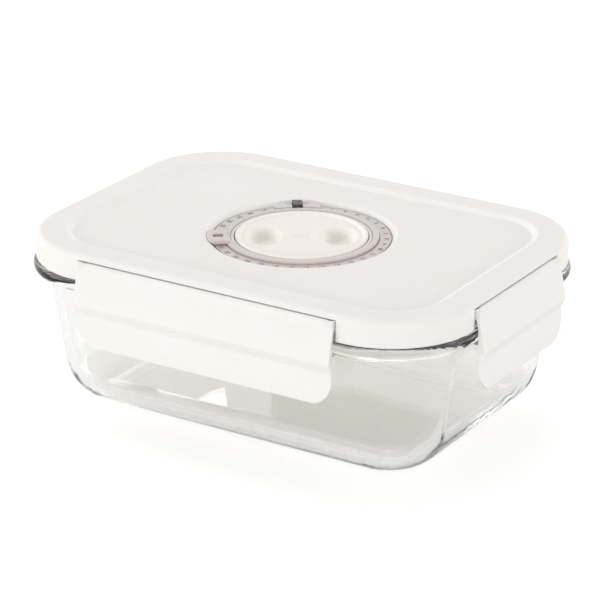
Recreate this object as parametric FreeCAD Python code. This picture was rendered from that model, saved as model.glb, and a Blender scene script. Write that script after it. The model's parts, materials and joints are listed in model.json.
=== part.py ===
"""A rectangular glass food canister with a clip-on lid and a hand vacuum pump in the lid.

Millimetres, +Z up, +X along the length. The origin is the middle of the glass base, on the surface
that the canister stands on. Each function below makes one piece, at the place where it is fitted.
"""
import FreeCAD
import Part
import math
import os

Vector = FreeCAD.Vector
UP = Vector(0, 0, 1)
OVERRUN = 6.0

# Lid outline, the plan that the glass, the seal and the latches are all measured from
lid_length = 200.0
lid_width = 145.0
lid_corner_radius = 37.0

# Glass dish
dish_height = 62.8
rim_overhang = 1.1
rim_depth = 5.2
rim_edge_radius = 2.3
rim_lip_radius = 1.2
wall_inset = 4.8
wall_draft_deg = 9.0
wall_thickness = 4.0
base_corner_radius = 6.5
base_thickening = 4.0
floor_thickness = 4.6
neck_radius = 2.5
foot_width = 5.0
foot_corner_radius = 4.0
foot_recess = 0.6

# Lid shell: raised border, sunken panel, skirt and the plug wall that enters the dish
lid_seat_gap = 0.3
lid_height = 11.0
lid_edge_radius = 3.0
skirt_edge_radius = 0.5
skirt_thickness = 3.4
border_width = 12.5
step_run = 2.6
step_drop = 1.6
step_soften_radius = 1.6
panel_thickness = 2.4
plug_gap = 0.7
plug_thickness = 2.0
plug_reach = 4.5
plug_edge_radius = 0.8
groove_roof_thickness = 3.6
rib_thickness = 1.6
rib_depth = 4.6
rib_count = 12

# Lid seal in the groove above the rim
seal_clearance = 0.15
seal_edge_radius = 0.7
seal_lip_rise = 2.6
seal_bead_width = 2.6

# Latches: a flap on each side that swings on two ears and hooks under the glass rim
long_latch_length = 120.0
short_latch_length = 68.0
latch_cover = 0.65
latch_thickness = 1.6
latch_neck_height = 3.0
latch_lean = 2.6
latch_lean_radius = 12.0
latch_rim_clearance = 0.35
latch_rim_headroom = 1.0
latch_nose_radius = 2.0
latch_nose_clearance = 0.35
latch_end_gap = 0.5
latch_height = 35.0
latch_grip_height = 18.1
latch_step_height = 4.5
latch_lip_flare = 0.5
latch_lip_thickness = 1.3
latch_corner_radius = 10.0
latch_edge_radius = 0.6
latch_crease_radius = 2.0
hook_clearance = 0.25
hook_engagement = 1.7
hook_height = 3.4
hook_tip_height = 1.2
ear_thickness = 2.2
ear_radius = 1.3
ear_from_end = 1.3
ear_side_gap = 0.2
ear_skin_gap = 0.2
ear_relief = 0.15
ear_root_top = 2.9
ear_root_bottom = 5.6
ear_mouth = 1.05
pin_radius = 0.65
pin_clearance = 0.06

# Round well in the middle of the lid panel, which holds the pump and the date dial
well_radius = 39.3
well_depth = 3.2
well_wall = 2.2
well_edge_radius = 0.5
well_slope_run = 1.9
well_slope_drop = 1.6
well_floor_thickness = 2.2
ledge_width = 3.2
seat_drop = 1.8
pump_fit_gap = 0.3

# Pump barrel, its gasket and the nut that clamps it under the lid
cup_wall = 1.4
cup_floor_thickness = 1.8
collar_below_panel = 0.8
flange_width = 4.6
flange_thickness = 1.4
flange_clearance = 0.4
barrel_gasket_thickness = 1.0
bore_ledge = 6.8
bore_wall = 1.6
barrel_floor_thickness = 1.6
snap_groove_depth = 0.5
snap_groove_height = 0.8
barrel_edge_radius = 0.5
nut_height = 2.8
nut_width = 4.6
nut_thread_gap = 0.1
nut_notch_width = 5.0
nut_notch_depth = 2.0
nut_notch_count = 6

# Pump knob: a dished disc with two finger wells and a bar between them
knob_gap = 0.4
knob_below_panel = 0.3
knob_rim_width = 1.5
knob_dish = 0.8
knob_edge_radius = 0.6
knob_floor_gap = 0.3
knob_wall = 1.6
knob_hub_wall = 2.0
finger_well_margin = 3.9
finger_well_stretch = 8.4
finger_well_depth_share = 0.43
finger_well_edge_radius = 1.8
edge_find_share = 0.1
knob_angle_deg = 31.0
grip_mark_length = 7.5
grip_mark_width = 1.6
grip_mark_depth = 0.5

# Piston, rod, seal and the two one-way valves
pump_stroke = 12.0
stop_gap = 0.4
gland_thickness = 2.4
gland_lip_thickness = 1.2
gland_lip = 2.0
gland_vent_radius = 1.2
gland_vent_count = 6
slide_gap = 0.06
rod_radius = 6.0
rod_socket_depth = 4.0
piston_height = 6.4
piston_gap = 0.35
seal_ring_height = 3.0
seal_ring_depth = 2.2
seal_ring_gap = 0.08
piston_floor_gap = 0.4
valve_head_radius = 6.5
valve_head_thickness = 1.2
valve_head_gap = 0.7
valve_stem_radius = 1.6
valve_stem_gap = 0.05
valve_bulb_radius = 2.4
valve_bulb_height = 1.6
intake_hole_radius = 1.0
intake_hole_circle = 4.2
intake_hole_count = 6
exhaust_hole_radius = 0.9
exhaust_circle_share = 0.6
exhaust_hole_count = 8
flap_width = 6.0
flap_thickness = 0.9
screw_radius = 1.5
screw_clearance = 0.1
screw_head_radius = 2.8
screw_head_height = 2.0
screw_grip = 3.0
screw_length = 7.5
screw_tip_gap = 0.4
guard_radius = 12.0
guard_height = 3.8
guard_wall = 1.2
guard_slot_width = 3.0
guard_slot_height = 1.8
guard_slot_count = 8

# Date dial: a fixed scale ring and a pointer ring that turns round the pump collar
scale_thickness = 1.6
scale_gap = 0.3
scale_rim_gap = 0.7
pointer_width = 2.6
pointer_rise = 2.1
pointer_gap = 0.08
pointer_lift = 0.05
pointer_edge_radius = 0.5
pointer_bead_height = 0.5
pointer_bead_gap = 0.15
tab_wall_gap = 0.4
tab_width = 12.5
tab_above_panel = 0.5
tab_edge_radius = 0.4
tab_scale_gap = 0.3
tab_window_from_rim = 2.4
tab_window_length = 4.2
tab_window_width = 3.6
tab_angle_deg = 218.0

# Vacuum release: a flip-up lever between two posts, with a plug that closes the vent
release_angle_deg = 125.0
release_inner_width = 19.0
release_outer_width = 12.5
release_floor_thickness = 1.2
release_gap = 0.3
release_below_panel = 0.1
post_width = 2.8
post_radius = 1.4
lever_width = 4.0
lever_thickness = 1.3
lever_side_gap = 0.25
lever_axis_from_wall = 2.0
lever_axis_rise = 2.6
lever_barrel_radius = 1.2
lever_inner_reach = 4.4
lever_outer_reach = 1.3
lever_edge_radius = 0.3
lever_pin_radius = 0.6
lever_pin_gap = 0.05
vent_radius = 0.5
vent_from_axis = 2.3
vent_plug_radius = 1.1
vent_plug_gap = 0.05

# Places that follow from the sizes above
half_length = lid_length / 2
half_width = lid_width / 2
rim_bottom = dish_height - rim_depth
lid_bottom = dish_height + lid_seat_gap
lid_top = lid_bottom + lid_height
panel_top = lid_top - step_drop
panel_bottom = panel_top - panel_thickness
groove_roof = lid_top - groove_roof_thickness
draft = math.tan(math.radians(wall_draft_deg))
wall_across = wall_thickness / math.cos(math.radians(wall_draft_deg))
mouth_inset = wall_inset + wall_across - draft * rim_depth
outer_foot = wall_inset + draft * rim_bottom
inner_foot = mouth_inset + draft * (dish_height - floor_thickness)
foot_start = lid_corner_radius - base_corner_radius
base_radius = (foot_start - outer_foot) / math.tan(math.radians(90 - wall_draft_deg) / 2)
cavity_radius = base_radius - base_thickening
plug_outside = mouth_inset + plug_gap
plug_inside = plug_outside + plug_thickness
plug_bottom = dish_height - plug_reach
plug_taper = draft * plug_reach
panel_inset = border_width + step_run + plug_thickness

latch_inside = rim_overhang + latch_rim_clearance
latch_outside = latch_inside + latch_cover
crease_out = latch_outside + latch_lean
lip_out = latch_inside + latch_lip_thickness
hinge_out = latch_outside - latch_nose_radius
latch_top = lid_top - lid_edge_radius + latch_edge_radius
hinge_height = latch_top - latch_nose_radius
latch_bottom = latch_top - latch_height
latch_crease = latch_bottom + latch_grip_height
latch_step = latch_crease - latch_step_height
pocket_roof = latch_top + latch_nose_clearance
pocket_depth = latch_nose_radius + latch_nose_clearance - hinge_out
hook_top = rim_bottom - hook_clearance
hook_tip = rim_overhang - hook_engagement

well_inside = well_radius - well_slope_run
seat_radius = well_inside - ledge_width
flange_radius = seat_radius - flange_clearance
collar_radius = flange_radius - flange_width
cup_radius = collar_radius - cup_wall
bore_radius = cup_radius - bore_ledge
hole_radius = collar_radius + pump_fit_gap
ledge_top = panel_top - well_depth
seat_top = ledge_top - seat_drop
seat_bottom = seat_top - well_floor_thickness
collar_top = panel_top - collar_below_panel
flange_bottom = seat_top + barrel_gasket_thickness
flange_top = flange_bottom + flange_thickness
knob_top = panel_top - knob_below_panel
knob_radius = cup_radius - knob_gap
knob_face = knob_top - knob_dish
knob_hub_radius = rod_radius + knob_hub_wall
bar_half_width = knob_hub_radius + knob_wall
finger_well_width = knob_radius - knob_rim_width - knob_dish - finger_well_margin - bar_half_width
finger_well_offset = bar_half_width + finger_well_width / 2
finger_well_length = finger_well_width + finger_well_stretch
finger_well_depth = finger_well_depth_share * finger_well_width
knob_bottom = knob_face - finger_well_depth - knob_wall
gland_top = knob_bottom - knob_floor_gap
cup_floor_top = gland_top - gland_lip_thickness
cup_floor_bottom = cup_floor_top - cup_floor_thickness
gland_bottom = cup_floor_top - gland_thickness
gland_vent_circle = (rod_radius + bore_radius) / 2
exhaust_hole_circle = rod_radius + exhaust_circle_share * flap_width
piston_top = gland_bottom - stop_gap - flap_thickness - pump_stroke
piston_radius = bore_radius - piston_gap
piston_bottom = piston_top - piston_height
barrel_floor_top = piston_bottom - piston_floor_gap
barrel_bottom = barrel_floor_top - barrel_floor_thickness
rod_top = knob_bottom + rod_socket_depth
screw_seat = knob_bottom - screw_grip
valve_recess_radius = valve_head_radius + valve_head_gap
valve_recess_top = barrel_floor_top + valve_head_thickness + valve_head_gap

scale_top = ledge_top + scale_thickness
scale_plate_bottom = flange_top + scale_gap
scale_inside = collar_radius + pointer_gap + pointer_width + scale_gap
pointer_inside = collar_radius + pointer_gap
pointer_outside = pointer_inside + pointer_width
pointer_bottom = flange_top + pointer_lift
pointer_top = pointer_bottom + pointer_rise
snap_height = (flange_top + collar_top) / 2
tab_bottom = scale_top + tab_scale_gap
tab_top = panel_top + tab_above_panel

release_outside = well_radius - release_gap
release_inside = seat_radius + release_gap
release_floor = ledge_top + release_floor_thickness
release_top = panel_top - release_below_panel
lever_axis_radius = well_radius - lever_axis_from_wall
lever_axis_height = ledge_top + lever_axis_rise
lever_top = lever_axis_height + lever_barrel_radius
lever_bottom = lever_top - lever_thickness
vent_place = lever_axis_radius - vent_from_axis


def rounded_wire(corners):
    """A closed wire through corners (point, radius), with an arc at each corner that has a radius."""
    edges = []
    starts, ends, middles = [], [], []
    count = len(corners)
    for index, (point, radius) in enumerate(corners):
        before = (corners[index - 1][0] - point).normalize()
        after = (corners[(index + 1) % count][0] - point).normalize()
        half_turn = before.getAngle(after) / 2
        run = radius / math.tan(half_turn)
        starts.append(point + before * run)
        ends.append(point + after * run)
        inward = (before + after).normalize()
        middles.append(point + inward * (radius / math.sin(half_turn) - radius))
    for index, (point, radius) in enumerate(corners):
        if radius > 0:
            edges.append(Part.Arc(starts[index], middles[index], ends[index]).toShape())
        following = starts[(index + 1) % count]
        if ends[index].distanceToPoint(following) > Part.Precision.confusion():
            edges.append(Part.LineSegment(ends[index], following).toShape())
    return Part.Wire(edges)


def profile(corners, place):
    """A flat face from corners (across, up) or (across, up, radius), each put in space by place."""
    return Part.Face(rounded_wire([(place(c[0], c[1]), c[2] if len(c) > 2 else 0) for c in corners]))


def turned(corners, angle=360):
    """A solid of revolution about +Z from corners (radius, height) or (radius, height, rounding)."""
    face = profile(corners, lambda across, up: Vector(across, 0, up))
    return face.revolve(Vector(0, 0, 0), UP, angle)


def ring(inside, outside, bottom, top):
    """A plain ring about +Z."""
    return turned([(inside, bottom), (outside, bottom), (outside, top), (inside, top)])


def swept(corners):
    """The section corners (inset, height, rounding) carried round the lid outline as a closed band."""
    reach_x = half_length - lid_corner_radius
    reach_y = half_width - lid_corner_radius
    pieces = []
    for sign in (-1, 1):
        front = profile(corners, lambda inset, up: Vector(-reach_x, sign * (half_width - inset), up))
        pieces.append(front.extrude(Vector(2 * reach_x, 0, 0)))
        side = profile(corners, lambda inset, up: Vector(sign * (half_length - inset), -reach_y, up))
        pieces.append(side.extrude(Vector(0, 2 * reach_y, 0)))
    corner_face = profile(corners, lambda inset, up: Vector(lid_corner_radius - inset, 0, up))
    corner = corner_face.revolve(Vector(0, 0, 0), UP, 90)
    for quarter, (x, y) in enumerate(((1, 1), (-1, 1), (-1, -1), (1, -1))):
        piece = corner.copy()
        piece.rotate(Vector(0, 0, 0), UP, 90 * quarter)
        piece.translate(Vector(x * reach_x, y * reach_y, 0))
        pieces.append(piece)
    return pieces[0].multiFuse(pieces[1:]).removeSplitter()


def plan_block(inset, bottom, top, radius):
    """A block of the lid outline, taken in by inset, between two heights, with its own corner radius."""
    x = half_length - inset
    y = half_width - inset
    signs = ((-1, -1), (1, -1), (1, 1), (-1, 1))
    wire = rounded_wire([(Vector(i * x, j * y, bottom), radius) for i, j in signs])
    return Part.Face(wire).extrude(UP * (top - bottom))


def box(low, high):
    """A box between two opposite corners."""
    size = high - low
    return Part.makeBox(size.x, size.y, size.z, low)


def rod(radius, start, end):
    """A round bar from start to end."""
    along = end - start
    return Part.makeCylinder(radius, along.Length, start, along)


def spun(shape, angle):
    """A copy of shape turned about +Z by angle in degrees."""
    copy = shape.copy()
    copy.rotate(Vector(0, 0, 0), UP, angle)
    return copy


def fused(shapes):
    """All shapes joined into one solid."""
    return shapes[0].multiFuse(shapes[1:]).removeSplitter()


def around(shape, count):
    """Copies of shape evenly round +Z."""
    return [spun(shape, 360 * index / count) for index in range(count)]


def glass_dish():
    """The dish: a rolled rim, drafted walls, a well rounded base and a shallow recess under the floor."""
    middle = foot_start + foot_width / 2
    wall = swept([
        (mouth_inset, dish_height, rim_lip_radius),
        (-rim_overhang, dish_height, rim_edge_radius),
        (-rim_overhang, rim_bottom, rim_edge_radius),
        (wall_inset, rim_bottom, neck_radius),
        (outer_foot, 0, base_radius),
        (middle, 0),
        (middle, floor_thickness),
        (inner_foot, floor_thickness, cavity_radius),
    ])
    floor = plan_block(middle, 0, floor_thickness, lid_corner_radius - middle)
    recess = plan_block(foot_start + foot_width, 0, foot_recess, foot_corner_radius)
    return fused([wall, floor]).cut(recess)


def lid_shell():
    """The lid: skirt, seal groove and plug wall round a panel with a stepped well, ribs below, hinge ears."""
    border = swept([
        (0, lid_bottom, skirt_edge_radius),
        (0, lid_top, lid_edge_radius),
        (border_width, lid_top, step_soften_radius),
        (border_width + step_run, panel_top, step_soften_radius),
        (panel_inset, panel_top),
        (panel_inset, panel_bottom),
        (plug_inside, panel_bottom),
        (plug_inside + plug_taper, plug_bottom, plug_edge_radius),
        (plug_outside + plug_taper, plug_bottom, plug_edge_radius),
        (plug_outside, dish_height),
        (plug_outside, groove_roof),
        (skirt_thickness, groove_roof),
        (skirt_thickness, lid_bottom, skirt_edge_radius),
    ])
    well_cut = Part.makeCylinder(well_radius + well_wall / 2, lid_top, Vector(0, 0, 0), UP)
    panel = plan_block(panel_inset, panel_bottom, panel_top, lid_corner_radius - panel_inset).cut(well_cut)
    well = turned([
        (hole_radius, seat_bottom),
        (seat_radius + well_wall, seat_bottom),
        (seat_radius + well_wall, ledge_top - well_floor_thickness),
        (well_radius + well_wall, ledge_top - well_floor_thickness),
        (well_radius + well_wall, panel_top),
        (well_radius, panel_top, well_edge_radius),
        (well_inside, panel_top - well_slope_drop),
        (well_inside, ledge_top),
        (seat_radius, ledge_top),
        (seat_radius, seat_top),
        (hole_radius, seat_top),
    ])
    rib_bottom = panel_bottom - rib_depth
    rib = box(
        Vector(0, -rib_thickness / 2, rib_bottom),
        Vector(half_length, rib_thickness / 2, panel_bottom),
    )
    rib_end = plug_inside - plug_thickness / 2
    rib_room = plan_block(rib_end, rib_bottom, panel_bottom, lid_corner_radius - rib_end).cut(well_cut)
    ribs = [one.common(rib_room) for one in around(rib, rib_count)]
    shell = fused([border, panel, well] + ribs)
    cuts = [release_outline(seat_radius, well_radius, ledge_top, lid_top, release_gap), vent_bore()]
    ears = []
    for angle, length, distance in latch_sides():
        cuts.append(spun(latch_pocket(length, distance), angle))
        ears += [spun(ear, angle) for ear in latch_ears(length, distance)]
    return fused([shell.cut(cuts)] + ears)


def lid_gasket():
    """The silicone seal: a block that fills the groove, with a bead that sits on the glass rim."""
    outer = skirt_thickness + seal_clearance
    inner = plug_outside - seal_clearance
    return swept([
        (outer, dish_height + seal_clearance / 2, seal_edge_radius),
        (outer, groove_roof),
        (inner, groove_roof),
        (inner, dish_height + seal_lip_rise, seal_edge_radius),
        (outer + seal_bead_width, dish_height + seal_lip_rise, seal_edge_radius),
        (outer + seal_bead_width, dish_height + seal_clearance / 2, seal_edge_radius),
    ])


def latch_sides():
    """For each latch: the turn from the front, its length and how far the lid edge is from the middle."""
    return (
        (0, long_latch_length, half_width),
        (180, long_latch_length, half_width),
        (90, short_latch_length, half_length),
        (270, short_latch_length, half_length),
    )


def latch_pocket(length, distance):
    """The slot in the front skirt that the latch lies in."""
    reach = length / 2 + latch_end_gap
    return box(
        Vector(-reach, -distance - OVERRUN, lid_bottom - OVERRUN),
        Vector(reach, -distance + pocket_depth, pocket_roof),
    )


def ear_places(length):
    """Where each hinge ear starts along the front latch, from left to right."""
    inner = length / 2 - ear_from_end - ear_thickness
    return (-inner - ear_thickness, inner)


def latch_ears(length, distance):
    """The two hinge ears on the front skirt: a pin hole, a mouth to snap the pin in and a sloping neck."""
    ears = []
    axis_y = -distance - hinge_out
    root = -(pocket_depth + skirt_thickness) / 2
    for start in ear_places(length):
        end = start + ear_thickness
        disc = rod(ear_radius, Vector(start, axis_y, hinge_height), Vector(end, axis_y, hinge_height))
        neck = profile([
            (hinge_out, hinge_height),
            (root, hinge_height - ear_root_top),
            (root, hinge_height - ear_root_bottom),
            (hinge_out, hinge_height - ear_radius),
        ], lambda out, up: Vector(start, -distance - out, up)).extrude(Vector(ear_thickness, 0, 0))
        hole = rod(
            pin_radius + pin_clearance,
            Vector(start - OVERRUN, axis_y, hinge_height),
            Vector(end + OVERRUN, axis_y, hinge_height),
        )
        mouth = box(
            Vector(start - OVERRUN, axis_y - OVERRUN, hinge_height - ear_mouth / 2),
            Vector(end + OVERRUN, axis_y, hinge_height + ear_mouth / 2),
        )
        ears.append(disc.fuse(neck).cut([hole, mouth]))
    return ears


def latch(length, distance):
    """The front latch: a leaning flap with a tucked lip, a hook under the rim and two snap-in pins."""
    half = length / 2
    top_inside = latch_outside - latch_thickness
    lip_end = lip_out + latch_lip_flare
    section = profile([
        (top_inside, hinge_height),
        (latch_outside, hinge_height),
        (latch_outside, hinge_height - latch_neck_height, latch_lean_radius),
        (crease_out, latch_crease, latch_crease_radius),
        (lip_out, latch_step, latch_crease_radius),
        (lip_end, latch_bottom, latch_edge_radius),
        (lip_end - latch_lip_thickness, latch_bottom, latch_edge_radius),
        (latch_inside, latch_step),
        (latch_inside, hook_top - hook_height),
        (hook_tip, hook_top - hook_tip_height),
        (hook_tip, hook_top),
        (latch_inside, hook_top),
        (latch_inside, dish_height + latch_rim_headroom),
        (top_inside, hinge_height - latch_nose_radius),
    ], lambda out, up: Vector(-half, -distance - out, up)).extrude(Vector(length, 0, 0))
    axis_y = -distance - hinge_out
    nose = rod(latch_nose_radius, Vector(-half, axis_y, hinge_height), Vector(half, axis_y, hinge_height))
    face = profile([
        (-half, latch_top + OVERRUN),
        (half, latch_top + OVERRUN),
        (half, latch_bottom, latch_corner_radius),
        (-half, latch_bottom, latch_corner_radius),
    ], lambda along, up: Vector(along, -distance - crease_out - OVERRUN, up))
    body = fused([section, nose]).common(face.extrude(Vector(0, crease_out + distance, 0)))
    pins = []
    for start in ear_places(length):
        low = start - ear_side_gap
        high = start + ear_thickness + ear_side_gap
        ear_room = rod(
            ear_radius + ear_skin_gap,
            Vector(low, axis_y, hinge_height),
            Vector(high, axis_y, hinge_height),
        )
        behind = box(
            Vector(low, axis_y - ear_relief, hinge_height - latch_nose_radius),
            Vector(high, 0, latch_top + OVERRUN),
        )
        body = body.cut([ear_room, behind])
        pins.append(rod(
            pin_radius,
            Vector(low - pin_radius, axis_y, hinge_height),
            Vector(high + pin_radius, axis_y, hinge_height),
        ))
    return fused([body] + pins)


def pump_barrel():
    """The pump cylinder: a cup for the knob, a flange that rests on the lid, a bore and a holed floor."""
    half_groove = snap_groove_height / 2
    barrel = turned([
        (valve_stem_radius + valve_stem_gap, barrel_bottom),
        (bore_radius + bore_wall, barrel_bottom, barrel_edge_radius),
        (bore_radius + bore_wall, cup_floor_bottom),
        (collar_radius, cup_floor_bottom, barrel_edge_radius),
        (collar_radius, flange_bottom),
        (flange_radius, flange_bottom),
        (flange_radius, flange_top),
        (collar_radius, flange_top),
        (collar_radius, snap_height - half_groove),
        (collar_radius - snap_groove_depth, snap_height - half_groove),
        (collar_radius - snap_groove_depth, snap_height + half_groove),
        (collar_radius, snap_height + half_groove),
        (collar_radius, collar_top, barrel_edge_radius),
        (cup_radius, collar_top, barrel_edge_radius),
        (cup_radius, cup_floor_top),
        (bore_radius, cup_floor_top),
        (bore_radius, barrel_floor_top),
        (valve_stem_radius + valve_stem_gap, barrel_floor_top),
    ])
    hole = rod(
        intake_hole_radius,
        Vector(intake_hole_circle, 0, barrel_bottom - OVERRUN),
        Vector(intake_hole_circle, 0, barrel_floor_top + OVERRUN),
    )
    return barrel.cut(around(hole, intake_hole_count))


def barrel_gasket():
    """The flat silicone ring between the barrel flange and the lid."""
    return ring(hole_radius, flange_radius, seat_top, flange_bottom)


def barrel_nut():
    """The ring nut under the lid, with notches for a spanner."""
    inside = collar_radius + nut_thread_gap
    outside = inside + nut_width
    nut = ring(inside, outside, seat_bottom - nut_height, seat_bottom)
    notch = box(
        Vector(outside - nut_notch_depth, -nut_notch_width / 2, seat_bottom - nut_height - OVERRUN),
        Vector(outside + OVERRUN, nut_notch_width / 2, seat_bottom + OVERRUN),
    )
    return nut.cut(around(notch, nut_notch_count))


def gland_ring():
    """The cap of the bore: it guides the rod, stops the piston and lets the pumped air out."""
    rod_hole = rod_radius + slide_gap
    plug = bore_radius - slide_gap
    gland = turned([
        (rod_hole, gland_bottom),
        (plug, gland_bottom),
        (plug, cup_floor_top),
        (bore_radius + gland_lip, cup_floor_top),
        (bore_radius + gland_lip, gland_top),
        (rod_hole, gland_top),
    ])
    vent = rod(
        gland_vent_radius,
        Vector(gland_vent_circle, 0, gland_bottom - OVERRUN),
        Vector(gland_vent_circle, 0, gland_top + OVERRUN),
    )
    return gland.cut(around(vent, gland_vent_count))


def finger_well(grow):
    """The hollow for one finger, in line with +X: a round-ended bar lying across the knob face."""
    half = finger_well_width / 2
    bowl = (half ** 2 + finger_well_depth ** 2) / (2 * finger_well_depth)
    height = knob_face + bowl - finger_well_depth
    reach = (finger_well_length - finger_well_width) / 2
    ends = [Vector(finger_well_offset, sign * reach, height) for sign in (-1, 1)]
    balls = [Part.makeSphere(bowl + grow, end) for end in ends]
    return fused([rod(bowl + grow, ends[0], ends[1])] + balls)


def finger_well_edges(knob):
    """The edges where the finger wells meet the knob face."""
    edges = []
    for edge in knob.Edges:
        level = max(abs(edge.BoundBox.ZMin - knob_face), abs(edge.BoundBox.ZMax - knob_face))
        middle = Vector(abs(edge.CenterOfMass.x), edge.CenterOfMass.y, knob_face)
        apart = middle.distanceToPoint(Vector(finger_well_offset, 0, knob_face))
        if level < edge_find_share * finger_well_edge_radius and apart < finger_well_length / 2:
            edges.append(edge)
    return edges


def pump_knob():
    """The dished knob: two finger wells with a bar between them, hollow below, with a socket for the rod."""
    disc = turned([
        (0, knob_bottom),
        (knob_radius, knob_bottom, knob_edge_radius),
        (knob_radius, knob_top, knob_edge_radius),
        (knob_radius - knob_rim_width, knob_top, knob_edge_radius),
        (knob_radius - knob_rim_width - knob_dish, knob_face),
        (0, knob_face),
    ])
    hollow = ring(knob_hub_radius, knob_radius - knob_wall, knob_bottom - OVERRUN, knob_face - knob_wall)
    hollow = hollow.cut(around(finger_well(knob_wall), 2))
    socket = Part.makeCylinder(rod_radius + slide_gap, rod_top + slide_gap, Vector(0, 0, 0), UP)
    screw_hole = Part.makeCylinder(
        screw_radius + screw_clearance, screw_seat + screw_length + screw_tip_gap, Vector(0, 0, 0), UP)
    mark = box(
        Vector(-grip_mark_width / 2, -grip_mark_length / 2, knob_face - grip_mark_depth),
        Vector(grip_mark_width / 2, grip_mark_length / 2, knob_face + OVERRUN),
    )
    face = disc.cut(around(finger_well(0), 2))
    face = face.makeFillet(finger_well_edge_radius, finger_well_edges(face))
    return spun(face.cut([hollow, socket, screw_hole, mark]), knob_angle_deg)


def piston():
    """The piston and its hollow rod, with a seal groove, exhaust holes and a recess over the intake valve."""
    seal_bottom = piston_bottom + (piston_height - seal_ring_height) / 2
    seal_top = seal_bottom + seal_ring_height
    head_bore = screw_head_radius + screw_clearance
    body = turned([
        (screw_radius + screw_clearance, rod_top),
        (rod_radius, rod_top),
        (rod_radius, piston_top),
        (piston_radius, piston_top),
        (piston_radius, seal_top),
        (piston_radius - seal_ring_depth, seal_top),
        (piston_radius - seal_ring_depth, seal_bottom),
        (piston_radius, seal_bottom),
        (piston_radius, piston_bottom),
        (valve_recess_radius, piston_bottom),
        (valve_recess_radius, valve_recess_top),
        (head_bore, valve_recess_top),
        (head_bore, screw_seat),
        (screw_radius + screw_clearance, screw_seat),
    ])
    hole = rod(
        exhaust_hole_radius,
        Vector(exhaust_hole_circle, 0, piston_bottom - OVERRUN),
        Vector(exhaust_hole_circle, 0, piston_top + OVERRUN),
    )
    return body.cut(around(hole, exhaust_hole_count))


def piston_seal():
    """The silicone ring in the piston's groove."""
    seal_bottom = piston_bottom + (piston_height - seal_ring_height) / 2 + seal_ring_gap
    seal_top = seal_bottom + seal_ring_height - 2 * seal_ring_gap
    inside = piston_radius - seal_ring_depth + seal_ring_gap
    outside = bore_radius - seal_ring_gap
    return turned([
        (inside, seal_bottom),
        (outside, seal_bottom, seal_ring_depth / 2),
        (outside, seal_top, seal_ring_depth / 2),
        (inside, seal_top),
    ])


def exhaust_flap():
    """The silicone flap on the piston: it covers the exhaust holes and lifts to let the air past."""
    inside = rod_radius + slide_gap
    return ring(inside, inside + flap_width, piston_top, piston_top + flap_thickness)


def knob_screw():
    """The screw that holds the knob on the rod, put in from below."""
    return turned([
        (0, screw_seat - screw_head_height),
        (screw_head_radius, screw_seat - screw_head_height),
        (screw_head_radius, screw_seat),
        (screw_radius, screw_seat),
        (screw_radius, screw_seat + screw_length),
        (0, screw_seat + screw_length),
    ])


def intake_valve():
    """The silicone umbrella valve on the barrel floor, held by a bulb below."""
    return turned([
        (0, barrel_bottom - valve_bulb_height),
        (valve_stem_radius, barrel_bottom - valve_bulb_height),
        (valve_bulb_radius, barrel_bottom),
        (valve_stem_radius, barrel_bottom),
        (valve_stem_radius, barrel_floor_top),
        (valve_head_radius, barrel_floor_top),
        (valve_head_radius, barrel_floor_top + valve_head_thickness / 2),
        (valve_stem_radius, barrel_floor_top + valve_head_thickness),
        (0, barrel_floor_top + valve_head_thickness),
    ])


def splash_guard():
    """The slotted cap under the barrel that keeps food off the intake holes."""
    bottom = barrel_bottom - guard_height
    cap = turned([
        (0, bottom),
        (guard_radius, bottom, guard_wall / 2),
        (guard_radius, barrel_bottom),
        (guard_radius - guard_wall, barrel_bottom),
        (guard_radius - guard_wall, bottom + guard_wall),
        (0, bottom + guard_wall),
    ])
    slot = box(
        Vector(0, -guard_slot_width / 2, barrel_bottom - guard_slot_height),
        Vector(guard_radius + OVERRUN, guard_slot_width / 2, barrel_bottom + OVERRUN),
    )
    return cap.cut(around(slot, guard_slot_count))


def scale_ring():
    """The fixed ring with the day numbers, open where the vacuum release sits."""
    outside = well_inside - scale_rim_gap
    full = turned([
        (seat_radius + scale_gap, ledge_top),
        (outside, ledge_top),
        (outside, scale_top),
        (scale_inside, scale_top),
        (scale_inside, scale_plate_bottom),
        (seat_radius + scale_gap, scale_plate_bottom),
    ])
    return full.cut(release_outline(collar_radius, well_radius, ledge_top - OVERRUN, lid_top, scale_gap))


def pointer_ring():
    """The turning ring round the pump collar, with a snap bead and a tab that frames one day number."""
    half_bead = pointer_bead_height / 2
    band = turned([
        (pointer_inside, pointer_bottom),
        (pointer_outside, pointer_bottom),
        (pointer_outside, pointer_top, pointer_edge_radius),
        (pointer_inside, pointer_top, pointer_edge_radius),
        (pointer_inside, snap_height + half_bead),
        (collar_radius - snap_groove_depth + pointer_bead_gap, snap_height),
        (pointer_inside, snap_height - half_bead),
    ])
    rim = well_radius - tab_wall_gap
    slope_gap = well_slope_drop * (well_slope_run - tab_wall_gap) / well_slope_run
    tab_band = turned([
        (pointer_inside + pointer_width / 2, tab_bottom),
        (well_inside - tab_scale_gap, tab_bottom),
        (rim, tab_bottom + slope_gap),
        (rim, tab_top, tab_edge_radius),
        (pointer_inside + pointer_width / 2, tab_top, tab_edge_radius),
    ])
    tab = tab_band.common(box(
        Vector(0, -tab_width / 2, 0),
        Vector(well_radius, tab_width / 2, lid_top),
    ))
    window_end = rim - tab_window_from_rim
    window = box(
        Vector(window_end - tab_window_length, -tab_window_width / 2, 0),
        Vector(window_end, tab_window_width / 2, lid_top),
    )
    return spun(fused([band, tab]).cut(window), tab_angle_deg)


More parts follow.
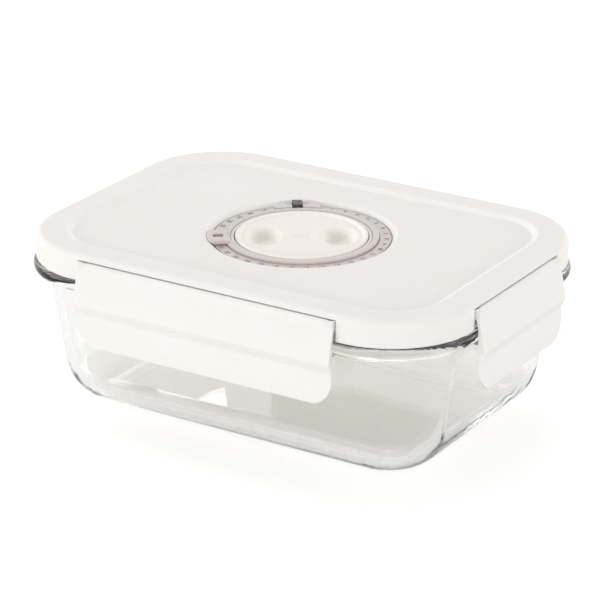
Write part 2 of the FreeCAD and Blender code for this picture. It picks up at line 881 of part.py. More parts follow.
def release_outline(inside, outside, bottom, top, grow):
    """The plan of the release block, wide towards the middle of the lid, kept between two radii."""
    inner = release_inner_width / 2 + grow
    outer = release_outer_width / 2 + grow
    plan = profile([
        (inside - OVERRUN, -inner),
        (release_inside, -inner),
        (release_outside, -outer),
        (outside + OVERRUN, -outer),
        (outside + OVERRUN, outer),
        (release_outside, outer),
        (release_inside, inner),
        (inside - OVERRUN, inner),
    ], lambda across, along: Vector(across, along, bottom))
    block = plan.extrude(UP * (top - bottom)).common(ring(inside, outside, bottom, top))
    return spun(block, release_angle_deg)


def vent_bore():
    """The hole for the air that the release lets in, through the release block and the lid."""
    bore = Part.makeCylinder(vent_radius, lid_top, Vector(vent_place, 0, seat_bottom - OVERRUN), UP)
    return spun(bore, release_angle_deg)


def release_housing():
    """The block of the vacuum release: a bay for the lever between two rounded posts, and the vent."""
    foot = release_outline(release_inside, release_outside, ledge_top, scale_plate_bottom, 0)
    head = release_outline(scale_inside, release_outside, scale_plate_bottom, release_top, 0)
    bay_half = lever_width / 2 + lever_side_gap
    post_end = bay_half + post_width
    posts = rod(
        post_radius,
        Vector(lever_axis_radius, -post_end, lever_axis_height),
        Vector(lever_axis_radius, post_end, lever_axis_height),
    )
    bay = box(Vector(0, -bay_half, release_floor), Vector(well_radius, bay_half, lid_top))
    pin_hole = lever_pin(lever_pin_gap)
    body = fused([foot, head, spun(posts, release_angle_deg)])
    return body.cut([spun(bay, release_angle_deg), spun(pin_hole, release_angle_deg), vent_bore()])


def lever_pin(grow):
    """The release pin before it is turned into place."""
    reach = lever_width / 2 + lever_side_gap + post_width
    return rod(
        lever_pin_radius + grow,
        Vector(lever_axis_radius, -reach, lever_axis_height),
        Vector(lever_axis_radius, reach, lever_axis_height),
    )


def release_pin():
    """The steel pin that the release lever turns on."""
    return spun(lever_pin(0), release_angle_deg)


def release_lever():
    """The flip-up lever: a flat finger plate on a round barrel."""
    half = lever_width / 2
    barrel = rod(
        lever_barrel_radius,
        Vector(lever_axis_radius, -half, lever_axis_height),
        Vector(lever_axis_radius, half, lever_axis_height),
    )
    plate = profile([
        (lever_axis_radius - lever_inner_reach, lever_bottom, lever_edge_radius),
        (lever_axis_radius - lever_inner_reach, lever_top, lever_edge_radius),
        (lever_axis_radius + lever_outer_reach, lever_top, lever_edge_radius),
        (lever_axis_radius + lever_outer_reach, lever_bottom, lever_edge_radius),
    ], lambda across, up: Vector(across, -half, up)).extrude(Vector(0, lever_width, 0))
    hole = rod(
        lever_pin_radius + lever_pin_gap,
        Vector(lever_axis_radius, -lever_width, lever_axis_height),
        Vector(lever_axis_radius, lever_width, lever_axis_height),
    )
    return spun(fused([barrel, plate]).cut(hole), release_angle_deg)


def release_plug():
    """The silicone plug under the lever, which closes the vent."""
    plug = Part.makeCone(
        vent_plug_radius, vent_radius, lever_bottom - release_floor - vent_plug_gap,
        Vector(vent_place, 0, release_floor + vent_plug_gap), UP)
    return spun(plug, release_angle_deg)


def main():
    """Builds every piece and writes one STEP file for each."""
    os.makedirs("parts", exist_ok=True)
    makers = (
        glass_dish, lid_shell, lid_gasket, pump_barrel, barrel_gasket, barrel_nut, gland_ring, pump_knob,
        piston, piston_seal, exhaust_flap, knob_screw, intake_valve, splash_guard, scale_ring, pointer_ring,
        release_housing, release_pin, release_lever, release_plug,
    )
    pieces = {maker.__name__: maker() for maker in makers}
    names = ("latch_front", "latch_back", "latch_right", "latch_left")
    for name, (angle, length, distance) in zip(names, latch_sides()):
        pieces[name] = spun(latch(length, distance), angle)
    for name, shape in pieces.items():
        print(name, shape.isValid(), len(shape.Solids), round(shape.Volume))
        shape.exportStep(os.path.join("parts", name + ".step"))


main()
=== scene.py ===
"""The looks of a rectangular glass food canister with a clip-on lid, a pull pump and a date dial.

Lengths are in metres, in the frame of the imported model, unless a name ends in _mm. Every new piece is
modelled at its own place, and its object stays at the origin.
"""
import json
import logging
import math
from collections.abc import Callable, Iterable, Sequence
from dataclasses import dataclass, field
from enum import Enum

import bpy
from mathutils import Matrix, Vector


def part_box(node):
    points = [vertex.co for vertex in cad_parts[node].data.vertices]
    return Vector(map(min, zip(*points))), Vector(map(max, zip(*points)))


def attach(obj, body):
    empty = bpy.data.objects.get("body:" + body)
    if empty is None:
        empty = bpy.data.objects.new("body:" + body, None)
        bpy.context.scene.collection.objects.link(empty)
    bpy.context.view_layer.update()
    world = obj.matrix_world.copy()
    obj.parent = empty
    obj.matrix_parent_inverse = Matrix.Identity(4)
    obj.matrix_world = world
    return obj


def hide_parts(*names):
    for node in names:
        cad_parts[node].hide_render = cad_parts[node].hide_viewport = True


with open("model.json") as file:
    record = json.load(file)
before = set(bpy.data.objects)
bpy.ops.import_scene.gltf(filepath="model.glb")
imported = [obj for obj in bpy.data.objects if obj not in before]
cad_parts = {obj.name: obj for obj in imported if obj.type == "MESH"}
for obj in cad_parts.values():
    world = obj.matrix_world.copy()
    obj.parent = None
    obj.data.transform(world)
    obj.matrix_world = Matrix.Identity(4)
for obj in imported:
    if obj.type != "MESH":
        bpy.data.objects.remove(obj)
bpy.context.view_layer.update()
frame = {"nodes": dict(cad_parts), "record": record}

LOG = logging.getLogger("canister")
MM = 0.001

# Points of a copied node that lie closer together than this are one point
WELD_MM = 0.002

# Sockets of a Mix node that mixes two colours
MIX_A, MIX_B, MIX_RESULT = 6, 7, 2


def linear(hex_colour: str) -> tuple[float, float, float, float]:
    """Turns an sRGB hex colour into the linear colour that shaders take.

    Args:
        hex_colour: Six hex digits after a hash, such as "#EDEAE6".

    Returns:
        Red, green, blue and an alpha of one.
    """
    values = [int(hex_colour[i:i + 2], 16) / 255 for i in (1, 3, 5)]
    parts = [v / 12.92 if v <= 0.04045 else ((v + 0.055) / 1.055) ** 2.4 for v in values]
    return (*parts, 1.0)


def per_mm(size_mm: float) -> float:
    """The scale of a texture whose features are size_mm across, on coordinates in metres."""
    return 1 / (size_mm * MM)


def add_node(tree: bpy.types.NodeTree, kind: str, settings: dict | None = None,
             inputs: dict | None = None) -> bpy.types.Node:
    """Adds one shader node with its settings and inputs.

    Args:
        tree: The node tree to add to.
        kind: The node's type name.
        settings: Attributes of the node by name.
        inputs: Values by socket name or number. A value that is a socket is linked.

    Returns:
        The new node.
    """
    node = tree.nodes.new(kind)
    for name, value in (settings or {}).items():
        setattr(node, name, value)
    for name, value in (inputs or {}).items():
        if isinstance(value, bpy.types.NodeSocket):
            tree.links.new(value, node.inputs[name])
        else:
            node.inputs[name].default_value = value
    return node


def empty_material(name: str) -> tuple[bpy.types.Material, bpy.types.NodeTree]:
    """A new material with no nodes in it.

    Args:
        name: The material's name.

    Returns:
        The material and its node tree.
    """
    material = bpy.data.materials.new(name)
    material.use_nodes = True
    material.node_tree.nodes.clear()
    return material, material.node_tree


class Pick(Enum):
    """What is picked out of a mesh."""

    POINTS = "VERT"
    FACES = "FACE"


class Finish:
    """A finish that makes its material once and hands it out to every piece that has it."""

    _made: dict[str, bpy.types.Material] = {}
    name: str

    def material(self) -> bpy.types.Material:
        """Makes the material on the first call, and keeps it for the next ones.

        Returns:
            The material of this finish.
        """
        if self.name not in Finish._made:
            Finish._made[self.name] = self.build()
        return Finish._made[self.name]

    def build(self) -> bpy.types.Material:
        """Makes the material. Each kind of finish has its own."""
        raise NotImplementedError


@dataclass(frozen=True)
class MouldedPlastic(Finish):
    """Injection-moulded plastic: even colour with a faint flow mottle, and the fine grain of an eroded mould.

    The grain of a real mould is about 0.1 mm, too fine to show here, so grain_mm is drawn coarser.
    """

    name: str
    colour: str
    shade: str
    ior: float
    roughness: float
    roughness_spread: float = 0.06
    grain_mm: float = 0.9
    grain_height_mm: float = 0.012
    grain_strength: float = 0.35
    grain_detail: float = 2.0
    mottle_mm: float = 38.0
    mottle_detail: float = 3.0
    mottle_contrast: float = 0.55
    patch_mm: float = 38.0 / 6
    patch_range: tuple[float, float] = (0.3, 0.7)
    glow: float = 0.0
    glow_mm: float = 2.0
    glow_tint: tuple[float, float, float] = (1.0, 0.72, 0.52)
    coat: float = 0.0
    coat_roughness: float = 0.12

    def build(self) -> bpy.types.Material:
        """Makes the plastic from a mottled colour, patches of roughness and a grain in relief.

        Returns:
            The material.
        """
        material, tree = empty_material(self.name)
        place = add_node(tree, "ShaderNodeTexCoord").outputs["Object"]
        mottle = add_node(tree, "ShaderNodeTexNoise", inputs={
            "Vector": place, "Scale": per_mm(self.mottle_mm), "Detail": self.mottle_detail,
            "Roughness": self.mottle_contrast})
        colour = add_node(tree, "ShaderNodeMix", {"data_type": "RGBA"}, {
            "Factor": mottle.outputs["Fac"], MIX_A: linear(self.colour), MIX_B: linear(self.shade)})
        patches = add_node(tree, "ShaderNodeTexNoise", inputs={
            "Vector": place, "Scale": per_mm(self.patch_mm), "Detail": self.grain_detail})
        rough = add_node(tree, "ShaderNodeMapRange", inputs={
            "Value": patches.outputs["Fac"],
            "From Min": self.patch_range[0], "From Max": self.patch_range[1],
            "To Min": self.roughness - self.roughness_spread,
            "To Max": self.roughness + self.roughness_spread})
        grain = add_node(tree, "ShaderNodeTexNoise", inputs={
            "Vector": place, "Scale": per_mm(self.grain_mm), "Detail": self.grain_detail})
        bump = add_node(tree, "ShaderNodeBump", inputs={
            "Strength": self.grain_strength, "Distance": self.grain_height_mm * MM,
            "Height": grain.outputs["Fac"]})
        shader = add_node(tree, "ShaderNodeBsdfPrincipled", inputs={
            "Base Color": colour.outputs[MIX_RESULT], "Roughness": rough.outputs["Result"], "IOR": self.ior,
            "Subsurface Weight": self.glow, "Subsurface Scale": self.glow_mm * MM,
            "Subsurface Radius": self.glow_tint, "Coat Weight": self.coat,
            "Coat Roughness": self.coat_roughness, "Normal": bump.outputs["Normal"]})
        add_node(tree, "ShaderNodeOutputMaterial", inputs={"Surface": shader.outputs["BSDF"]})
        return material


@dataclass(frozen=True)
class PressedGlass(Finish):
    """Pressed borosilicate glass: clear, near neutral, with the slow waves that pressing leaves."""

    name: str
    colour: str
    cast: str
    ior: float = 1.473
    wave_mm: float = 22.0
    wave_height_mm: float = 0.05
    wave_detail: float = 1.0
    wave_strength: float = 0.3

    def build(self) -> bpy.types.Material:
        """Makes the glass, which lets the light of lamps straight through to what is inside.

        Returns:
            The material.
        """
        material, tree = empty_material(self.name)
        place = add_node(tree, "ShaderNodeTexCoord").outputs["Object"]
        waves = add_node(tree, "ShaderNodeTexNoise", inputs={
            "Vector": place, "Scale": per_mm(self.wave_mm), "Detail": self.wave_detail})
        bump = add_node(tree, "ShaderNodeBump", inputs={
            "Strength": self.wave_strength, "Distance": self.wave_height_mm * MM,
            "Height": waves.outputs["Fac"]})
        glass = add_node(tree, "ShaderNodeBsdfPrincipled", inputs={
            "Base Color": linear(self.colour), "Roughness": 0.0, "IOR": self.ior,
            "Transmission Weight": 1.0, "Normal": bump.outputs["Normal"]})
        clear = add_node(tree, "ShaderNodeBsdfTransparent", inputs={"Color": linear(self.cast)})
        rays = add_node(tree, "ShaderNodeLightPath")
        mix = add_node(tree, "ShaderNodeMixShader", inputs={
            "Fac": rays.outputs["Is Shadow Ray"], 1: glass.outputs["BSDF"], 2: clear.outputs["BSDF"]})
        add_node(tree, "ShaderNodeOutputMaterial", inputs={"Surface": mix.outputs["Shader"]})
        return material


@dataclass(frozen=True)
class PlainSteel(Finish):
    """Turned stainless steel, whose fine tool marks are drawn coarser than real ones so that they show."""

    name: str
    colour: str
    roughness: float = 0.28
    roughness_spread: float = 0.08
    mark_mm: float = 0.4
    mark_detail: float = 3.0

    def build(self) -> bpy.types.Material:
        """Makes the steel, whose gloss varies with the tool marks.

        Returns:
            The material.
        """
        material, tree = empty_material(self.name)
        place = add_node(tree, "ShaderNodeTexCoord").outputs["Object"]
        marks = add_node(tree, "ShaderNodeTexNoise", inputs={
            "Vector": place, "Scale": per_mm(self.mark_mm), "Detail": self.mark_detail})
        rough = add_node(tree, "ShaderNodeMapRange", inputs={
            "Value": marks.outputs["Fac"], "To Min": self.roughness - self.roughness_spread,
            "To Max": self.roughness + self.roughness_spread})
        shader = add_node(tree, "ShaderNodeBsdfPrincipled", inputs={
            "Base Color": linear(self.colour), "Metallic": 1.0, "Roughness": rough.outputs["Result"]})
        add_node(tree, "ShaderNodeOutputMaterial", inputs={"Surface": shader.outputs["BSDF"]})
        return material


@dataclass(frozen=True)
class SweepPaper(Finish):
    """White studio paper: it takes the shadow, and shows as white to the eye and in the glass.

    Beyond the distance near, the lift that the eye sees grows, up to far_lift at the distance far, so that
    the paper stays white where the lamps no longer reach it.
    """

    name: str
    colour: str
    lift: float
    lift_in_glass: float
    far_lift: float
    near: float
    far: float

    def build(self) -> bpy.types.Material:
        """Makes the paper, which is matt and is lifted to white by a glow that lights nothing matt.

        Returns:
            The material.
        """
        material, tree = empty_material(self.name)
        rays = add_node(tree, "ShaderNodeLightPath")
        in_glass = add_node(tree, "ShaderNodeMath", {"operation": "MAXIMUM"}, {
            0: rays.outputs["Is Glossy Ray"], 1: rays.outputs["Is Transmission Ray"]})
        in_glass = add_node(tree, "ShaderNodeMath", {"operation": "MULTIPLY"}, {
            0: in_glass.outputs[0], 1: self.lift_in_glass})
        place = add_node(tree, "ShaderNodeTexCoord").outputs["Object"]
        away = add_node(tree, "ShaderNodeVectorMath", {"operation": "LENGTH"}, {0: place})
        to_eye = add_node(tree, "ShaderNodeMapRange", inputs={
            "Value": away.outputs["Value"], "From Min": self.near, "From Max": self.far,
            "To Min": self.lift, "To Max": self.far_lift})
        strength = add_node(tree, "ShaderNodeMath", {"operation": "MULTIPLY_ADD"}, {
            0: rays.outputs["Is Camera Ray"], 1: to_eye.outputs["Result"], 2: in_glass.outputs[0]})
        paper = add_node(tree, "ShaderNodeBsdfDiffuse", inputs={"Color": linear(self.colour)})
        glow = add_node(tree, "ShaderNodeEmission", inputs={"Strength": strength.outputs[0]})
        both = add_node(tree, "ShaderNodeAddShader", inputs={
            0: paper.outputs["BSDF"], 1: glow.outputs["Emission"]})
        add_node(tree, "ShaderNodeOutputMaterial", inputs={"Surface": both.outputs["Shader"]})
        return material


# Lid and latches: satin cream, and a little light goes into it and softens the edges of shadows
LID_POLYPROPYLENE = MouldedPlastic(
    "polypropylene_moulded_cream", "#F2EFEC", "#EFEBE7", ior=1.49, roughness=0.46, glow=0.3,
    glow_tint=(1.0, 0.92, 0.85))

# Knob: a warmer and slightly glossier white than the lid, with crisp shading in its wells
KNOB_ABS = MouldedPlastic("abs_moulded_white", "#F6F1EB", "#F3EDE6", ior=1.53, roughness=0.4)

# Pump barrel: undyed and off-white, seen as a thin collar round the knob and through the glass
BARREL_ABS = MouldedPlastic(
    "abs_moulded_natural", "#E8E4DC", "#E3DED5", ior=1.53, roughness=0.38, glow=0.1, glow_mm=1.5)

# Dial: hard and smoky grey, with a thin gloss
DIAL_SAN = MouldedPlastic(
    "san_moulded_smoke", "#D6CCC8", "#CFC5C1", ior=1.57, roughness=0.24, coat=0.15, glow=0.15, glow_mm=1.2,
    glow_tint=(1.0, 0.85, 0.8))

# Day numbers: the dial's plastic in a darker tone, with less grain
NUMBER_SAN = MouldedPlastic(
    "san_moulded_taupe", "#A59A95", "#9A8F8A", ior=1.57, roughness=0.3, grain_height_mm=0.004)

# Release lever: dark and waxy
LEVER_POM = MouldedPlastic("acetal_moulded_dark", "#55504E", "#4B4745", ior=1.48, roughness=0.4)

# Seals and valves: milky and matt
SILICONE = MouldedPlastic("silicone_cured_white", "#E9E6E1", "#E3DFD8", ior=1.41, roughness=0.52, glow=0.35)

# Dish: clear and near neutral, and the light that has gone through it is a little warm
GLASS = PressedGlass("borosilicate_pressed_clear", "#FBFBF9", "#FCFAF7")

# Screw and pin: bright, with fine tool marks
STEEL = PlainSteel("stainless_turned", "#C8C6C2")

# Paper under the canister: matt, and as white as the surround
PAPER = SweepPaper(
    "studio_paper_white", "#DADADA", lift=0.52, lift_in_glass=0.31, far_lift=0.9, near=0.25, far=1.2)

SLOT_FINISHES: dict[str, Finish] = {
    "glass": GLASS,
    "lid_plastic": LID_POLYPROPYLENE,
    "knob_plastic": KNOB_ABS,
    "barrel_plastic": BARREL_ABS,
    "dial_plastic": DIAL_SAN,
    "silicone": SILICONE,
    "lever_plastic": LEVER_POM,
    "steel": STEEL,
}


def only(obj: bpy.types.Object) -> None:
    """Selects one object and nothing else, and makes it the active one.

    Args:
        obj: The object.
    """
    bpy.ops.object.select_all(action="DESELECT")
    obj.select_set(True)
    bpy.context.view_layer.objects.active = obj


def dress(obj: bpy.types.Object, finish: Finish) -> None:
    """Gives a new piece its finish.

    Args:
        obj: The piece.
        finish: The finish for all its faces.
    """
    obj.data.materials.clear()
    obj.data.materials.append(finish.material())


def node_slots() -> dict[str, str]:
    """The record's material slot of each node, by the node's name."""
    return {row["node"]: row["material_slot"] for row in frame["record"]["subparts"]}


def node_bodies() -> dict[str, str]:
    """The body that each node rides on, by the node's name."""
    bodies = frame["record"]["behaviour"]["bodies"]
    return {node: body for body, nodes in bodies.items() for node in nodes}


def merged_copy(node: str, name: str) -> bpy.types.Object:
    """Copies a node and merges its loose triangles.

    Args:
        node: The node's name.
        name: The copy's name.

    Returns:
        The copy, in object mode, with plain normals.
    """
    piece = bpy.data.objects.new(name, frame["nodes"][node].data.copy())
    bpy.context.scene.collection.objects.link(piece)
    only(piece)
    bpy.ops.mesh.customdata_custom_splitnormals_clear()
    bpy.ops.object.mode_set(mode="EDIT")
    bpy.ops.mesh.select_all(action="SELECT")
    bpy.ops.mesh.remove_doubles(threshold=WELD_MM * MM)
    bpy.ops.object.mode_set(mode="OBJECT")
    return piece


def choose(piece: bpy.types.Object, kind: Pick, test: Callable[[bpy.types.bpy_struct], bool]) -> None:
    """Selects the points or faces of a piece that pass a test, and nothing else.

    Args:
        piece: The active object, which is left in edit mode.
        kind: Whether points or faces are picked.
        test: Says of one point or face whether it is picked.
    """
    bpy.ops.object.mode_set(mode="EDIT")
    bpy.ops.mesh.select_mode(type=kind.value)
    bpy.ops.mesh.select_all(action="DESELECT")
    bpy.ops.object.mode_set(mode="OBJECT")
    for item in piece.data.polygons if kind is Pick.FACES else piece.data.vertices:
        item.select = test(item)
    bpy.ops.object.mode_set(mode="EDIT")


def stand_in(piece: bpy.types.Object, node: str) -> None:
    """Dresses a piece as a node and puts it in the node's place, on the node's body.

    Args:
        piece: The finished piece.
        node: The name of the node that it stands for.
    """
    slot = node_slots()[node]
    dress(piece, SLOT_FINISHES[slot])
    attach(piece, node_bodies()[node])
    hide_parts(node)


@dataclass
class PressedDish:
    """The glass dish, with a foot recess as shallow as a polished one, too low to draw a line in the glass.

    The node's recess is recess_mm deep, and its roof is brought down to polished_mm. It lies within reach_x_mm
    and reach_y_mm of the middle, and points within tolerance_mm of the roof's height belong to it.
    """

    node: str = "glass_dish"
    recess_mm: float = 0.6
    polished_mm: float = 0.08
    tolerance_mm: float = 0.01
    reach_x_mm: float = 66.0
    reach_y_mm: float = 38.5

    def press(self) -> bpy.types.Object:
        """Makes the dish from a copy of its node, which keeps the node's own normals.

        Returns:
            The piece that stands for the node.
        """
        normals = [corner.vector.copy() for corner in frame["nodes"][self.node].data.corner_normals]
        dish = merged_copy(self.node, "dish_pressed")
        dish.data.normals_split_custom_set(normals)
        choose(dish, Pick.POINTS, self.on_recess)
        bpy.ops.transform.translate(value=(0, 0, (self.polished_mm - self.recess_mm) * MM))
        bpy.ops.object.mode_set(mode="OBJECT")
        stand_in(dish, self.node)
        return dish

    def on_recess(self, vertex: bpy.types.MeshVertex) -> bool:
        """Whether a point lies on the roof of the recess or at the top of its wall.

        Args:
            vertex: A point of the dish.

        Returns:
            True for a point of the recess.
        """
        place = vertex.co / MM
        level = abs(place.z - self.recess_mm) < self.tolerance_mm
        return level and abs(place.x) < self.reach_x_mm and abs(place.y) < self.reach_y_mm


@dataclass(frozen=True)
class Scoop:
    """A soft hollow in the knob's face: a flat core that blends into the face round it."""

    centre_mm: float
    half_width_mm: float
    half_length_mm: float
    depth_mm: float
    blend_mm: float


@dataclass
class PumpKnob:
    """The pump's knob: the rim and the underside of its node, with a face whose finger wells are soft.

    The flat of the face lies dish_mm below the top of the rim and reaches out to face_radius_mm. Inside that,
    the node's upper side is all that faces up, by more than upward, and lies over floor_mm above its foot, and
    all that is less than mark_wall_mm below the flat. A scoop takes hold of points within level_mm of the flat.
    The line of the wells is turned by turn_deg from +X.
    """

    node: str = "pump_knob"
    face_radius_mm: float = 25.1
    dish_mm: float = 0.8
    mark_wall_mm: float = 0.6
    floor_mm: float = 0.8
    upward: float = 0.01
    level_mm: float = 0.05
    rings: int = 25
    turn_deg: float = 31.0
    smooth_deg: float = 35.0
    scoops: Sequence[Scoop] = (
        Scoop(-15.4, 1.2, 4.2, 4.6, 7.0),
        Scoop(15.4, 1.2, 4.2, 4.6, 7.0),
        Scoop(0.0, 3.2, 0.9, 0.7, 2.6),
    )

    def mould(self) -> bpy.types.Object:
        """Moulds the knob and puts it in its node's place.

        Returns:
            The knob.
        """
        knob = merged_copy(self.node, "knob_moulded")
        self.clear_face(knob)
        self.lay_rings()
        for scoop in self.scoops:
            self.press(knob, scoop)
        bpy.ops.object.mode_set(mode="OBJECT")
        bpy.ops.object.shade_smooth_by_angle(angle=math.radians(self.smooth_deg))
        stand_in(knob, self.node)
        return knob

    def face_level(self) -> float:
        """The height of the flat of the knob's face."""
        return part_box(self.node)[1].z - self.dish_mm * MM

    def clear_face(self, knob: bpy.types.Object) -> None:
        """Takes the node's own upper side off, down to the foot of the rim.

        Args:
            knob: The copy of the node.
        """
        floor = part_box(self.node)[0].z + self.floor_mm * MM
        walls = self.face_level() - self.mark_wall_mm * MM

        def on_upper_side(face: bpy.types.MeshPolygon) -> bool:
            """Whether a face lies on the upper side, inside the rim.

            Args:
                face: A face of the knob.

            Returns:
                True for a face that goes.
            """
            inside = math.hypot(face.center.x, face.center.y) < self.face_radius_mm * MM
            upper = face.normal.z > self.upward and face.center.z > floor
            return inside and (upper or face.center.z > walls)

        choose(knob, Pick.FACES, on_upper_side)
        bpy.ops.mesh.delete(type="FACE")

    def lay_rings(self) -> None:
        """Closes the opening with a flat of close rings, which the wells are then pressed into."""
        bpy.ops.mesh.select_mode(type="EDGE")
        bpy.ops.mesh.select_all(action="DESELECT")
        bpy.ops.mesh.select_non_manifold(
            extend=False, use_wire=False, use_boundary=True, use_multi_face=False, use_non_contiguous=False,
            use_verts=False)
        bpy.ops.mesh.edge_face_add()
        bpy.ops.mesh.select_mode(type="FACE")
        for _ in range(self.rings):
            bpy.ops.mesh.inset(thickness=self.face_radius_mm / (self.rings + 1) * MM)
        bpy.ops.mesh.poke()

    def press(self, knob: bpy.types.Object, scoop: Scoop) -> None:
        """Presses one scoop into the face.

        Args:
            knob: The knob, in edit mode.
            scoop: The hollow and its place along the line of the wells.
        """
        turn = Matrix.Rotation(math.radians(-self.turn_deg), 3, "Z")
        level = self.face_level()

        def in_core(vertex: bpy.types.MeshVertex) -> bool:
            """Whether a point of the flat lies in the scoop's core.

            Args:
                vertex: A point of the knob.

            Returns:
                True for a point that is pressed to the full depth.
            """
            place = turn @ vertex.co / MM
            across = abs(place.x - scoop.centre_mm) < scoop.half_width_mm
            along = abs(place.y) < scoop.half_length_mm
            return across and along and abs(vertex.co.z - level) < self.level_mm * MM

        choose(knob, Pick.POINTS, in_core)
        bpy.ops.transform.translate(
            value=(0, 0, -scoop.depth_mm * MM), use_proportional_edit=True, use_proportional_connected=True,
            proportional_edit_falloff="SMOOTH", proportional_size=scoop.blend_mm * MM)


@dataclass
class DateDial:
    """The day numbers that stand up in relief round the fixed ring.

    Their middle line lies from_inside_mm out from the ring's inner edge. They are relief_mm thick, and half of
    that is sunk in the ring. The numbers keep release_half_deg clear to each side of release_deg, where the
    release is. A digit's height is digit_share of the size of its type.
    """

    days: int = 31
    number_height_mm: float = 1.9
    digit_share: float = 0.7
    curve_steps: int = 3
    relief_mm: float = 0.25
    from_inside_mm: float = 2.9
    release_deg: float = 125.0
    release_half_deg: float = 19.0

    def place_deg(self, day: int) -> float:
        """The angle of a day's number, counted round from the release.

        Args:
            day: The day of the month.

        Returns:
            The angle from +X in degrees.
        """
        room = 360 - 2 * self.release_half_deg
        return self.release_deg - self.release_half_deg - room * (day - 0.5) / self.days

    def raise_numbers(self) -> bpy.types.Object:
        """Raises the numbers on the ring, read from outside the ring.

        Returns:
            The numbers as one piece.
        """
        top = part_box("scale_ring")[1].z
        radius = self.ring_inside() + self.from_inside_mm * MM
        marks = []
        for day in range(1, self.days + 1):
            bpy.ops.object.select_all(action="DESELECT")
            bpy.ops.object.text_add()
            mark = bpy.context.object
            mark.data.body = str(day)
            mark.data.size = self.number_height_mm * MM / self.digit_share
            mark.data.align_x = "CENTER"
            mark.data.align_y = "CENTER"
            mark.data.extrude = self.relief_mm * MM / 2
            mark.data.resolution_u = self.curve_steps
            bpy.ops.object.convert(target="MESH")
            angle = math.radians(self.place_deg(day))
            turn = Matrix.Rotation(angle + math.pi / 2, 4, "Z")
            where = Vector((math.cos(angle) * radius, math.sin(angle) * radius, top))
            mark.data.transform(Matrix.Translation(where) @ turn)
            marks.append(mark)
        only(marks[0])
        for mark in marks:
            mark.select_set(True)
        bpy.ops.object.join()
        numbers = bpy.context.object
        numbers.name = "day_numbers"
        dress(numbers, NUMBER_SAN)
        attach(numbers, "lid")
        return numbers

    @staticmethod
    def ring_inside() -> float:
        """The inner radius of the fixed ring, from its own mesh."""
        return min(math.hypot(v.co.x, v.co.y) for v in frame["nodes"]["scale_ring"].data.vertices)


@dataclass
class Lamp:
    """A softbox that faces the canister. Unless told otherwise it is a long strip, low over the paper."""

    name: str
    azimuth_deg: float
    watts: float
    elevation_deg: float = 7.5
    distance: float = 3.2
    width: float = 3.2
    height: float = 0.75

    def hang(self, target: Vector) -> None:
        """Hangs the lamp so that it lights the target and shows in no gloss.

        Args:
            target: The point that it faces.
        """
        data = bpy.data.lights.new(self.name, "AREA")
        data.shape = "RECTANGLE"
        data.size = self.width
        data.size_y = self.height
        data.energy = self.watts
        lamp = bpy.data.objects.new(self.name, data)
        bpy.context.scene.collection.objects.link(lamp)
        back = towards(self.azimuth_deg, self.elevation_deg)
        lamp.location = target + back * self.distance
        lamp.rotation_euler = (-back).to_track_quat("-Z", "Y").to_euler()
        lamp.visible_glossy = False


def towards(azimuth_deg: float, elevation_deg: float) -> Vector:
    """The direction from the canister to a viewer: azimuth 0 stands at -Y, 90 at +X.

    Args:
        azimuth_deg: The angle round the canister.
        elevation_deg: The angle above the horizon.

    Returns:
        A vector of length one.
    """
    azimuth, elevation = math.radians(azimuth_deg), math.radians(elevation_deg)
    level = math.cos(elevation)
    return Vector((math.sin(azimuth) * level, -math.cos(azimuth) * level, math.sin(elevation)))


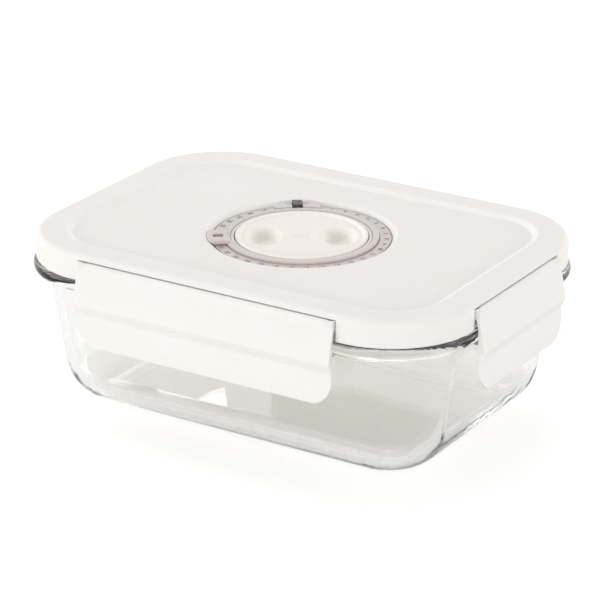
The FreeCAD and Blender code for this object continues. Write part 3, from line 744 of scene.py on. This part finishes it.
@dataclass
class Studio:
    """The white set that the canister stands in: paper, soft lamps, a pale surround and the camera."""

    azimuth_deg: float = 31.953
    elevation_deg: float = 21.963
    distance: float = 1.23968
    target: Vector = field(default_factory=lambda: Vector((0, 0, 0.04192)))
    lens_mm: float = 179.826
    sensor_mm: float = 36.0
    shift_x: float = -0.00276
    shift_y: float = 0.0039
    paper_size: float = 8.0
    light_steps: int = 40
    gloss_steps: int = 20
    bounce_steps: int = 10
    surround: float = 0.6
    lamps: Sequence[Lamp] = (
        Lamp("softbox_key", 235, 38.0, elevation_deg=45, width=2.4, height=2.4),
        Lamp("strip_front", -20, 44.0),
        Lamp("strip_left", -75, 10.0),
        Lamp("strip_camera", 40, 10.0),
        Lamp("strip_right", 100, 33.0),
        Lamp("strip_behind", 170, 18.0),
    )

    def lay_paper(self) -> None:
        """Lays the paper that the canister stands on."""
        bpy.ops.object.select_all(action="DESELECT")
        bpy.ops.mesh.primitive_plane_add(size=self.paper_size, location=(0, 0, 0))
        paper = bpy.context.object
        paper.name = "paper"
        dress(paper, PAPER)

    def light(self) -> None:
        """Hangs the lamps and sets the pale surround, which shows as white."""
        for lamp in self.lamps:
            lamp.hang(self.target)
        world = bpy.data.worlds.new("surround")
        bpy.context.scene.world = world
        world.use_nodes = True
        tree = world.node_tree
        tree.nodes.clear()
        rays = add_node(tree, "ShaderNodeLightPath")
        seen = add_node(tree, "ShaderNodeMath", {"operation": "MAXIMUM"}, {
            0: rays.outputs["Is Camera Ray"], 1: rays.outputs["Is Glossy Ray"]})
        seen = add_node(tree, "ShaderNodeMath", {"operation": "MAXIMUM"}, {
            0: seen.outputs[0], 1: rays.outputs["Is Transmission Ray"]})
        strength = add_node(tree, "ShaderNodeMapRange", inputs={
            "Value": seen.outputs[0], "To Min": self.surround, "To Max": 1.0})
        pale = add_node(tree, "ShaderNodeBackground", inputs={
            "Color": (1, 1, 1, 1), "Strength": strength.outputs["Result"]})
        add_node(tree, "ShaderNodeOutputWorld", inputs={"Surface": pale.outputs["Background"]})

    def set_camera(self) -> None:
        """Puts the camera at the photograph's angle."""
        data = bpy.data.cameras.new("camera")
        data.lens = self.lens_mm
        data.sensor_width = self.sensor_mm
        data.shift_x = self.shift_x
        data.shift_y = self.shift_y
        data.dof.use_dof = False
        camera = bpy.data.objects.new("camera", data)
        bpy.context.scene.collection.objects.link(camera)
        back = towards(self.azimuth_deg, self.elevation_deg)
        camera.location = self.target + back * self.distance
        camera.rotation_euler = (-back).to_track_quat("-Z", "Y").to_euler()
        bpy.context.scene.camera = camera
        bpy.context.scene.view_settings.view_transform = "Standard"

    def deepen_light(self) -> None:
        """Lets light go on through many layers of glass, so that the rim isn't black."""
        cycles = bpy.context.scene.cycles
        cycles.max_bounces = self.light_steps
        cycles.transmission_bounces = self.light_steps
        cycles.glossy_bounces = self.gloss_steps
        cycles.diffuse_bounces = self.bounce_steps


def dress_nodes(nodes: Iterable[str]) -> None:
    """Gives nodes that stay as they are the finish of their slot.

    Args:
        nodes: The nodes' names.
    """
    slots = node_slots()
    for name in nodes:
        obj = frame["nodes"][name]
        obj.material_slots[0].material = SLOT_FINISHES[slots[name]].material()
        LOG.info("dressed %s", name)


def main() -> None:
    """Dresses the canister and sets it in the studio."""
    logging.basicConfig(level=logging.INFO)
    dress_nodes(frame["nodes"])
    for piece in (PressedDish().press(), PumpKnob().mould(), DateDial().raise_numbers()):
        LOG.info("made %s: %d faces", piece.name, len(piece.data.polygons))
    studio = Studio()
    studio.lay_paper()
    studio.light()
    studio.set_camera()
    studio.deepen_light()


if __name__ == "__main__":
    main()
